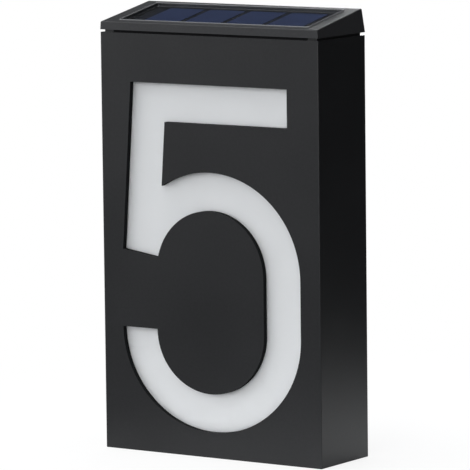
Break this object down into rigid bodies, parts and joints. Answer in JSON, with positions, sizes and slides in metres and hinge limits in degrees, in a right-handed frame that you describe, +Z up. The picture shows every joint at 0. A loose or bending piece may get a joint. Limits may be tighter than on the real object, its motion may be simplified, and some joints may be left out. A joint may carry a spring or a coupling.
{
  "type": "illuminated house number sign",
  "caption": "Box-shaped black house number sign with a lit numeral behind an opal panel, a sloping solar lid, keyholes and a battery hatch on the back.",
  "frame": {"origin": "centre of the sign's footprint, on the surface that it stands on", "axes": "+Z up, -Y out of the numeral's face, +Y towards the wall, +X to the right seen from the front"},
  "size_m": [0.112, 0.037, 0.1931],
  "materials": {
    "black_moulding": "satin black moulded plastic with a fine spark-eroded grain",
    "opal_panel": "opal acrylic, satin",
    "module_glass": "clear cover of the solar module",
    "silicon_cell": "dark blue silicon with fine grid lines",
    "module_backing": "black board",
    "seal_rubber": "soft black seal",
    "screw_steel": "zinc-plated steel",
    "white_tray": "white moulded plastic",
    "white_strip": "white solder mask",
    "led_phosphor": "yellow phosphor window in a white package",
    "lead_insulation": "wire insulation, red and black",
    "green_board": "green solder mask",
    "chip_epoxy": "black moulded epoxy",
    "coil_ferrite": "dark ferrite core",
    "capacitor_can": "aluminium can in a dark blue sleeve",
    "nickel_plate": "nickel-plated steel",
    "switch_nylon": "black nylon",
    "cell_sleeve": "green shrink sleeve over a steel can"
  },
  "bodies": {
    "sign": {"front_case": "black_moulding", "diffuser_panel": "opal_panel", "solar_lid": "black_moulding", "solar_glass": "module_glass", "solar_cells": "silicon_cell", "solar_backing": "module_backing", "lid_seal": "seal_rubber", "lid_screws": "screw_steel", "reflector_tray": "white_tray", "led_strip_left": "white_strip", "led_strip_right": "white_strip", "led_chips": "led_phosphor", "led_leads": "lead_insulation", "back_cover": "black_moulding", "back_seal": "seal_rubber", "cover_screws": "screw_steel", "control_board": "green_board", "board_screws": "screw_steel", "control_chip": "chip_epoxy", "storage_coil": "coil_ferrite", "smoothing_capacitor": "capacitor_can", "switch_housing": "nickel_plate", "solar_leads": "lead_insulation", "battery_cell": "cell_sleeve", "battery_spring": "nickel_plate", "battery_contacts": "nickel_plate", "battery_leads": "lead_insulation"},
    "battery_hatch": {"battery_door": "black_moulding", "battery_door_seal": "seal_rubber", "battery_door_screws": "screw_steel"},
    "switch_slider": {"switch_knob": "black_moulding", "switch_lever": "switch_nylon"}
  },
  "joints": [
    {"name": "hatch_lift", "type": "slide", "parent": "sign", "child": "battery_hatch", "axis": [0, 1, 0], "range_m": [0, 0.03]},
    {"name": "switch_slide", "type": "slide", "parent": "sign", "child": "switch_slider", "axis": [1, 0, 0], "range_m": [0, 0.0025]}
  ]
}
